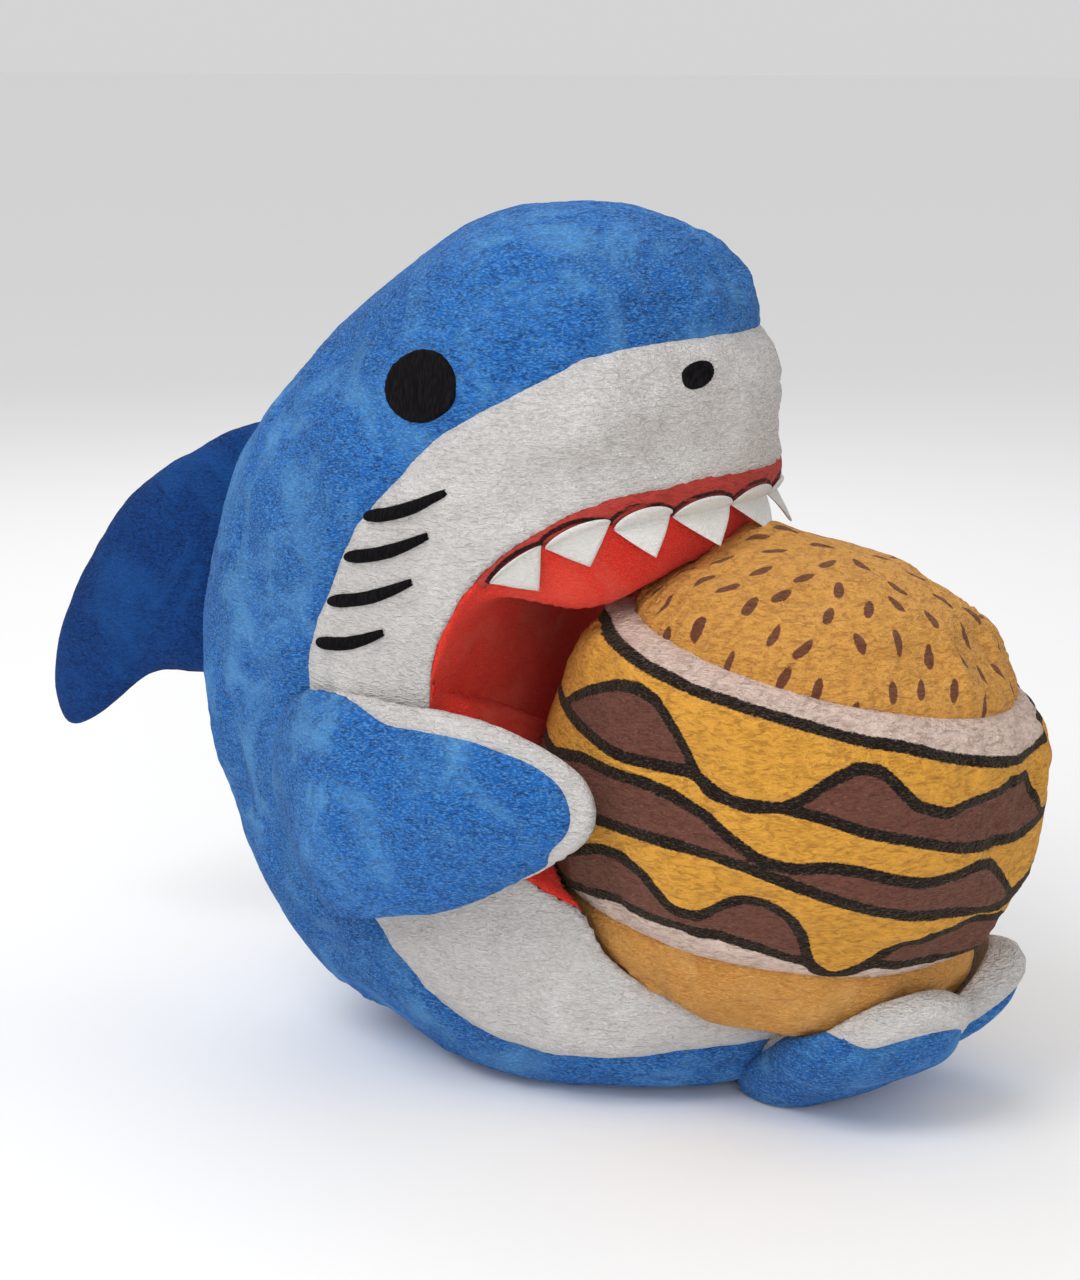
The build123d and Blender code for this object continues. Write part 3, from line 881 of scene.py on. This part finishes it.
# ------------------------------------------------------------------ fins
def fin_piece(name, outline, place, half, side_range, seam_at, material, bodies, nodes, rings=34, count=150, full=2.2, settle=None):
    """One panel of a plump fin. side_range is (-1, 0) or (0, 1): which face; seam_at gives where round the edge it ends."""
    middle = (outline.max(0) + outline.min(0)) / 2
    reach = np.linalg.norm(outline - middle, axis=1)
    share = np.linspace(0, 1, rings) ** 1.0
    out = []
    s_all = []
    for k in range(rings):
        if side_range > 0:
            d = seam_at - OVERLAP + (reach - seam_at + OVERLAP) * share[k]
            s = d - seam_at
        else:
            d = seam_at + OVERLAP - (reach + seam_at + OVERLAP) * share[k]
            s = seam_at - d
        rho = 1 - np.abs(d) / reach
        side = np.where(d >= 0, 1.0, -1.0)
        thick = np.where(d >= 0, half[0], half[1]) * np.clip(1 - rho ** full, 0, 1) ** 0.62
        p2 = middle + (outline - middle) * np.clip(rho, 0, 1)[:, None]
        depth = recess(s, 0.7, 0.8, 4.0)
        flat = place(p2, side * thick)
        inward = place(middle + (p2 - middle) * 0.98, side * np.maximum(thick - 1.0, 0))
        way = inward - flat
        way = way / np.maximum(np.linalg.norm(way, axis=1, keepdims=True), 1e-6)
        out.append(flat + way * depth[:, None])
        s_all.append(s)
    p = np.concatenate(out)
    away = p - place(middle[None, :], np.zeros(1))
    away = away / np.maximum(np.linalg.norm(away, axis=1, keepdims=True), 1e-6)
    p = p + away * (lumps(p, 3.0, 0.22, 6.6) + lumps(p, 14.0, 0.9, 8.1))[:, None]
    if settle:
        p = settle(p)
    faces = grid_faces(rings, count).tolist()
    ob = new_object(name, p, faces)
    outward(ob)
    return finish_piece(ob, material, bodies, nodes)


def pectoral_place(way):
    def place(p2, off):
        y, z = p2[:, 0], p2[:, 1]
        mid, deep, wide = torso_level(z)
        skin = wide * np.sqrt(np.clip(1 - ((y - mid) / deep) ** 2, 0, 1))
        skin = skin + 0.5
        root = smooth(y, -4, 30)
        line = 66.5 * (1 - root) + (skin - 3.5) * root
        x = line + off
        x = np.where((off < 0) & (y > -26), np.maximum(x, np.minimum(skin, line)), x)
        return np.stack([way * x, y, z], -1)
    return place


for side, way in (("right", -1), ("left", 1)):
    ring = closed_outline(PECTORAL_OUTLINE, 150)
    top_edge = smooth(ring[:, 1], 72, 90) * smooth(ring[:, 0], 4, -14)
    seam = 0.6 + 3.9 * np.maximum(top_edge, smooth(ring[:, 0], -55, -64)) - 3.2 * smooth(ring[:, 0], 2, 14) - 3.0 * smooth(ring[:, 1], 64, 54)
    body = f"{side}_pectoral_fin"
    bend = (ROOT, body, (way * 0.0600, 0.030, 0.072), (way * 0.0640, 0.004, 0.072))
    fin_piece(f"pectoral_{side}_blue_plush", ring, pectoral_place(way), (10.0, 10.0), 1, seam, BLUE, bend,
              [f"pectoral_{side}_outer"])
    fin_piece(f"pectoral_{side}_white_plush", ring, pectoral_place(way), (10.0, 10.0), -1, seam, WHITE, bend,
              [f"pectoral_{side}_inner", f"pectoral_{side}_stuffing"])

ring = closed_outline(DORSAL_OUTLINE, 150)
bend = (ROOT, "dorsal_fin", (0, 0.068, 0.110), (0, 0.090, 0.112))
for side, way in (("right", -1), ("left", 1)):
    fin_piece(f"dorsal_{side}_plush", ring, lambda p2, off, way=way: np.stack([way * off, p2[:, 0], p2[:, 1]], -1), (8.0, 8.0), 1,
              np.zeros(150), DARK_BLUE, bend,
              [f"dorsal_panel_{side}"] + (["dorsal_stuffing"] if side == "right" else []))


def under_burger(p):
    """Presses a fluke against the burger and the ground."""
    depth, way_out = burger_depth(p)
    p = p + way_out * np.maximum(depth + 0.7, 0)[:, None]
    p[:, 2] = np.maximum(p[:, 2], 0.6)
    return p


def fluke_place(way):
    across = np.array([1.0, 0.0, -FLUKE_SLOPE_OUTWARD])
    across /= np.linalg.norm(across)
    up = np.array([FLUKE_SLOPE_OUTWARD, FLUKE_SLOPE_FORWARD, 1.0])
    up /= np.linalg.norm(up)
    along = np.cross(up, across)

    def place(p2, off):
        p = np.array([0.0, *FLUKE_ROOT]) + p2[:, :1] * across + p2[:, 1:2] * along + np.asarray(off)[:, None] * up
        return p * np.array([-way, 1, 1])
    return place


for side, way in (("right", -1), ("left", 1)):
    ring = closed_outline(FLUKE_OUTLINE, 150)
    body = f"{side}_fluke"
    bend = (ROOT, body, (way * 0.010, -0.088, 0.010), (way * 0.018, -0.104, 0.016))
    seam = -3.5 + 7.5 * smooth(ring[:, 1], -34, -12)     # the blue comes further up towards the torso
    fin_piece(f"fluke_{side}_white_plush", ring, fluke_place(way), (FLUKE_TOP, FLUKE_UNDER), 1, seam, WHITE, bend,
              [f"fluke_{side}_top"], full=3.4, settle=under_burger)
    fin_piece(f"fluke_{side}_blue_plush", ring, fluke_place(way), (FLUKE_TOP, FLUKE_UNDER), -1, seam, BLUE, bend,
              [f"fluke_{side}_under", f"fluke_{side}_stuffing"], full=3.4, settle=under_burger)


# ------------------------------------------------------------------ teeth
def lip_point(angle):
    a = radians(angle)
    x = LIP_HALF_WIDTH * sin(a)
    y = LIP_MID_Y - LIP_DEPTH * cos(a)
    share = (y - MOUTH_Y) / (MOUTH_DEPTH + THROAT_EXTRA / 2)
    return np.array([x, y, MOUTH_Z + MOUTH_RISE * max(0.0, 1 - share * share) ** 0.5])


def lip_frame(angle):
    """Lip point with the directions along it, outward from it and down across it."""
    here = lip_point(angle)
    along = lip_point(angle + 4) - lip_point(angle - 4)
    along /= np.linalg.norm(along)
    out = np.array([sin(radians(angle)), -cos(radians(angle)), 0.0])
    out -= along * (out @ along)
    out /= np.linalg.norm(out)
    down = np.cross(along, out)
    return here, along, out, down if down[2] < 0 else -down


def gum_drop(angle):
    """How far the gum strip shows below the white plush."""
    return 1.4 + 4.4 * smooth(abs(angle), 63, 24)


LIP_ANGLES = np.linspace(-70, 70, 281)
LIP_FRAMES = [lip_frame(a) for a in LIP_ANGLES]
LIP_LENGTH = np.concatenate([[0], np.cumsum([np.linalg.norm(b[0] - a[0]) for a, b in zip(LIP_FRAMES, LIP_FRAMES[1:])])])
ROLL = np.array([(-3.5, 0.8), (-0.9, 0.5), (-0.5, -0.1), (-0.7, -0.35), (-1.4, -0.7), (-2.3, -0.93), (-3.6, -1.06), (-6.0, -0.9), (-8.5, -0.2), (-10, 1.0)])


def along_lip(length, sink, drop):
    """Points by length along the lip, distance sunk inward from it, and drop below it."""
    length, sink, drop = np.broadcast_arrays(length, sink, drop)
    flat = length.ravel()
    basis = [np.stack([np.interp(flat, LIP_LENGTH, [f[k][c] for f in LIP_FRAMES]) for c in range(3)], -1) for k in range(4)]
    p = basis[0] - basis[2] * sink.ravel()[:, None] + basis[3] * drop.ravel()[:, None]
    return p.reshape(length.shape + (3,))


def tooth_spans():
    """Length along the lip of both ends of each tooth, with its name."""
    at = lambda angle: float(np.interp(angle, LIP_ANGLES, LIP_LENGTH))
    yield "middle", at(TOOTH_CUSPS[0]), at(TOOTH_CUSPS[1])
    for side, way in (("right", -1), ("left", 1)):
        for number, (a, b) in enumerate(zip(TOOTH_CUSPS[1:], TOOTH_CUSPS[2:]), 1):
            yield f"{side}_{number}", *sorted((at(way * a), at(way * b)))


SPANS = list(tooth_spans())
ARC_RISE = 3.3


def strip_depth(length):
    return np.interp(length, LIP_LENGTH, [gum_drop(a) for a in LIP_ANGLES])


def gum_strip():
    length = np.linspace(np.interp(-67.5, LIP_ANGLES, LIP_LENGTH), np.interp(67.5, LIP_ANGLES, LIP_LENGTH), 420)[:, None]
    t = np.concatenate([[0], np.cumsum(np.linalg.norm(np.diff(ROLL, axis=0), axis=1))])
    roll = cubic(t, ROLL, np.linspace(0, t[-1], 46))[None, :, :]
    deep = strip_depth(length)
    p = along_lip(length + 0 * roll[..., 0], -roll[..., 0] * (0.35 + 0.65 * deep / 5.8), -roll[..., 1] * deep)
    drop = -roll[..., 1] * deep + 0 * length
    line = np.full(drop.shape, 9.0)
    for _, a, b in SPANS:
        u = np.clip((length - (a + b) / 2) / ((b - a) / 2), -1, 1)
        rise = min(ARC_RISE, float(strip_depth((a + b) / 2)) - 0.5)
        arch = deep - 0.2 - rise * (1 - u ** 2) ** 0.55
        steep = 1 / np.sqrt(1 + (rise * 1.1 * np.abs(u) / np.clip(1 - u ** 2, 0.05, 1) ** 0.45 / ((b - a) / 2)) ** 2)
        inside = (length >= a - 0.3) & (length <= b + 0.3)
        line = np.where(inside, np.minimum(line, np.abs(drop - arch + 0.5) * steep), line)
    line = np.where(roll[..., 0] + 0 * length < -5.0, 9.0, line)
    flat = p.reshape(-1, 3)
    flat = flat + lumps(flat, 6.0, 0.25, 2.7)[:, None] * np.array([0, -0.4, -0.9])
    ob = new_object("gum_plush_strip", flat, grid_faces(420, 46, wrap=False).tolist())
    attribute(ob, "arc", line.ravel())
    finish_piece(ob, GUM, ROOT, ["gum_strip"], thick=0.9)


def tooth(name, low, high, nodes, seed):
    """A felt tooth: an arched top over the gum strip and a point below it."""
    half, middle = (high - low) / 2, (low + high) / 2
    deep = float(strip_depth(middle))
    rise = min(ARC_RISE, deep - 0.5)
    u, v = np.meshgrid(np.linspace(-1, 1, 33), np.linspace(0, 1, 27))
    tip = 9.4 if half > 7.5 else 8.6
    top = deep - rise * np.clip(1 - u ** 2, 0, 1) ** 0.55
    point = deep + (tip - deep * 0.25) * (1 - np.abs(u)) ** 0.94
    drop = top + (point - top) * v
    across = u * half * 0.985
    edge = np.minimum(np.minimum(v, 1 - v) * (point - top), (1 - np.abs(u)) * half * 1.4)
    thick = 0.55 * (1 - np.exp(-np.maximum(edge, 0) / 0.45)) + 0.03
    sink_at = np.interp(drop / deep, -ROLL[1:7, 1], -ROLL[1:7, 0]) * (0.35 + 0.65 * deep / 5.8)
    flare = 0.25 - 0.95 * float(smooth(abs(np.interp(middle, LIP_LENGTH, LIP_ANGLES)), 58, 28))
    sink_at = np.where(drop > deep, sink_at + flare * (drop - deep), sink_at)
    bend = 0.9 * np.sin(1.5 + seed) * np.clip((drop - deep) / tip, 0, 1) ** 2 + 0.5 * sin(seed * 3) * u * v
    # below the strip the tooth is flat, so its sides run straight instead of following the lip
    sheets = []
    centre = along_lip(np.array([middle]), 0.0, 0.0)[0]
    here, along, out, down = lip_frame(float(np.interp(middle, LIP_LENGTH, LIP_ANGLES)))
    for way in (1, -1):
        sink = sink_at - 0.8 - way * thick - bend
        curved = along_lip(middle + across, sink, drop)
        flat = centre + along * across[..., None] - out * sink[..., None] + down * drop[..., None]
        share = smooth(drop - deep, -1.0, 6.0)[..., None]
        sheets.append((curved * (1 - share) + flat * share).reshape(-1, 3))
    rows, cols = u.shape
    n = rows * cols
    faces = grid_faces(rows, cols, wrap=False)
    rim = list(range(cols)) + [cols * k + cols - 1 for k in range(1, rows)]
    rim += [(rows - 1) * cols + i for i in range(cols - 2, -1, -1)] + [cols * k for k in range(rows - 2, 0, -1)]
    side = [[a, b, b + n, a + n] for a, b in zip(rim, rim[1:] + rim[:1])]
    both = faces.tolist() + [[i + n for i in f[::-1]] for f in faces.tolist()] + side
    ob = new_object(name, np.concatenate(sheets), both)
    weld = ob.modifiers.new("weld", "WELD")
    weld.merge_threshold = 0.02 * MM
    applied(ob)
    outward(ob)
    finish_piece(ob, FELT, ROOT, nodes)
    flat_area = np.mean((point - top)[0]) * 2 * half * MM ** 2
    return ob


gum_strip()
for number, (name, low, high) in enumerate(SPANS):
    tooth(f"tooth_{name}_felt", low, high, [f"tooth_{name}"], 0.8 * number)


# ------------------------------------------------------------------ embroidery
def on_skin(points, direction):
    """Where rays from outside meet the torso, in millimetres, with the surface normal."""
    hit, normal = [], []
    for p in points:
        start = Vector(p * MM) - Vector(direction) * 0.03
        place, n, _, _ = SKIN.ray_cast(start, Vector(direction))
        if place is None:
            place, n, _, _ = SKIN.find_nearest(Vector(p * MM))
        hit.append(np.array(place) / MM)
        normal.append(np.array(n))
    return np.array(hit), np.array(normal)


def patch(name, centre, facing, x_axis, half_x, half_z, rise, border, nodes):
    """A filled embroidered oval with a raised satin border."""
    facing = np.array(facing, float) / np.linalg.norm(facing)
    x_axis = np.array(x_axis, float)
    x_axis -= facing * (x_axis @ facing)
    x_axis /= np.linalg.norm(x_axis)
    z_axis = np.cross(facing, x_axis)
    rings, count = 26, 120
    rho = np.linspace(0.02, 1, rings)[:, None]
    a = np.linspace(0, 2 * pi, count, endpoint=False)[None, :]
    flat = np.array(centre, float) + (rho * np.cos(a) * half_x)[..., None] * x_axis + (rho * np.sin(a) * half_z)[..., None] * z_axis
    hit, normal = on_skin(flat.reshape(-1, 3), -facing)
    edge = (1 - rho + 0 * a) * min(half_x, half_z)
    height = rise * (1 - np.exp(-edge / 0.35)) + border * np.exp(-((edge - 0.9) / 0.6) ** 2) - 0.5 * np.exp(-edge / 0.12)
    height = height + 0.09 * np.sin(rho * np.cos(a) * half_x * 9.0) * (edge > 1.6) + 0.10 * np.sin(a * 95) * (edge <= 1.6)
    p = hit + normal * (height.reshape(-1, 1))
    faces = grid_faces(rings, count).tolist() + [list(range(count))[::-1]]
    ob = new_object(name, p, faces)
    outward(ob)
    finish_piece(ob, BLACK, ROOT, nodes, thick=1.4)


def satin_line(name, start, end, way, nodes_ready):
    """A raised satin stitch line on the side of the face, tapering at both ends."""
    t = np.linspace(0, 1, 90)[:, None]
    w = np.linspace(-1, 1, 11)[None, :]
    start, end = np.array(start, float), np.array(end, float)
    line = end - start
    across = np.array([-line[1], line[0]]) / np.linalg.norm(line)
    width = 0.85 * np.clip(t * 7, 0, 1) ** 0.5 * np.clip((1 - t) * 2.2, 0, 1) ** 0.6 + 0.06
    bow = 1.2 * np.sin(pi * t)
    y = start[0] + line[0] * t + across[0] * (w * width + bow) + 0.18 * (w)
    z = start[1] + line[1] * t + across[1] * (w * width + bow)
    points = np.stack([way * 90.0 + 0 * y, y, z], -1).reshape(-1, 3)
    hit, normal = [], []
    for p in points:
        place, n, _, _ = SKIN.ray_cast(Vector(p * MM), Vector((-way, 0, 0)))
        hit.append(np.array(place) / MM)
        normal.append(np.array(n))
    rise = (0.85 * np.sqrt(np.clip(1 - w ** 2, 0, 1)) * np.clip(width, 0, 1) - 0.4 + 0.10 * np.sin(t * 210 + w * 2.0)).reshape(-1, 1)
    return np.array(hit) + np.array(normal) * rise, grid_faces(90, 11, wrap=False)


EYE_AT, NOSTRIL_AT = (54.5, -15, 171), (22, -70, 174)
GILL_LINES = (((-3, 141), (-24, 148)), ((2.5, 131), (-19, 137.5)), ((7.5, 120), (-15, 126.5)), ((10.5, 110), (-7.5, 114)))
for side, way in (("right", -1), ("left", 1)):
    patch(f"eye_{side}_embroidery", (way * EYE_AT[0], EYE_AT[1], EYE_AT[2]), (way * 0.87, -0.05, 0.49), (0, 1, 0), 9.8, 8.2, 0.7, 0.45,
          [f"eye_{side}"])
    patch(f"nostril_{side}_embroidery", (way * NOSTRIL_AT[0] + (7.0 if way > 0 else 0), NOSTRIL_AT[1], NOSTRIL_AT[2]), (way * 0.35, -0.9, 0.2),
          (way * -0.93, -0.32, 0.36), 4.9, 3.0, 0.35, 0.15, [f"nostril_{side}"])
    parts = [satin_line("gill", a, b, way, None) for a, b in GILL_LINES]
    verts = np.concatenate([p for p, _ in parts])
    faces = np.concatenate([f + i * len(parts[0][0]) for i, (_, f) in enumerate(parts)])
    gills = new_object(f"gill_{side}_embroidery", verts, faces.tolist() if way > 0 else faces[:, ::-1].tolist())
    finish_piece(gills, BLACK, ROOT, [f"gill_stitches_{side}"], thick=0.8)

# ------------------------------------------------------------------ room, light and camera
scene = bpy.context.scene


def plain(name, colour, rough=0.9):
    mat, tree, shader = nodes_of(name)
    shader.inputs["Base Color"].default_value = (*colour, 1)
    shader.inputs["Roughness"].default_value = rough
    return mat


floor = new_object("floor", [(-30000, -30000, 0), (30000, -30000, 0), (30000, 30000, 0), (-30000, 30000, 0)], [(0, 1, 2, 3)], False)
floor.data.materials.append(plain("floor_paper", (0.97, 0.97, 0.97)))
floor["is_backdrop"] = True

world = bpy.data.worlds.new("studio")
world.use_nodes = True
world.node_tree.nodes["Background"].inputs["Color"].default_value = (1, 1, 1, 1)
world.node_tree.nodes["Background"].inputs["Strength"].default_value = 0.66
scene.world = world


def area_light(name, place, target, size, power, colour=(1, 1, 1)):
    data = bpy.data.lights.new(name, "AREA")
    data.energy = power
    data.size = size
    data.color = colour
    ob = bpy.data.objects.new(name, data)
    scene.collection.objects.link(ob)
    ob.location = place
    ob.rotation_euler = (Vector(target) - Vector(place)).to_track_quat("-Z", "Y").to_euler()
    return ob


MIDDLE = Vector((0, -0.02, 0.10))
area_light("key", (-0.75, 0.15, 0.95), MIDDLE, 0.6, 5.5)
area_light("fill", (-0.85, -0.65, 0.30), MIDDLE, 0.6, 2.6)
area_light("rim", (0.6, 0.5, 0.8), MIDDLE, 0.6, 2)

# the camera looks at the toy's right side and a little from the front
CAMERA_TURN, CAMERA_RISE, CAMERA_AWAY = radians(-60), radians(12), 0.70
back = Vector((sin(CAMERA_TURN) * cos(CAMERA_RISE), -cos(CAMERA_TURN) * cos(CAMERA_RISE), sin(CAMERA_RISE)))
camera_data = bpy.data.cameras.new("camera")
camera = bpy.data.objects.new("camera", camera_data)
scene.collection.objects.link(camera)
camera.location = MIDDLE + back * CAMERA_AWAY
camera.rotation_euler = (-back).to_track_quat("-Z", "Y").to_euler()
camera_data.sensor_fit = "VERTICAL"
camera_data.sensor_height = 24.0
camera_data.lens = 24.0 * 2800 / 1280
camera_data.shift_x = -20 / 1280
camera_data.shift_y = 10 / 1280
scene.camera = camera
scene.view_settings.view_transform = "Standard"

low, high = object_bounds()
{"cad": [list(CAD_LOW), list(CAD_HIGH)], "visual": [list(low), list(high)]}
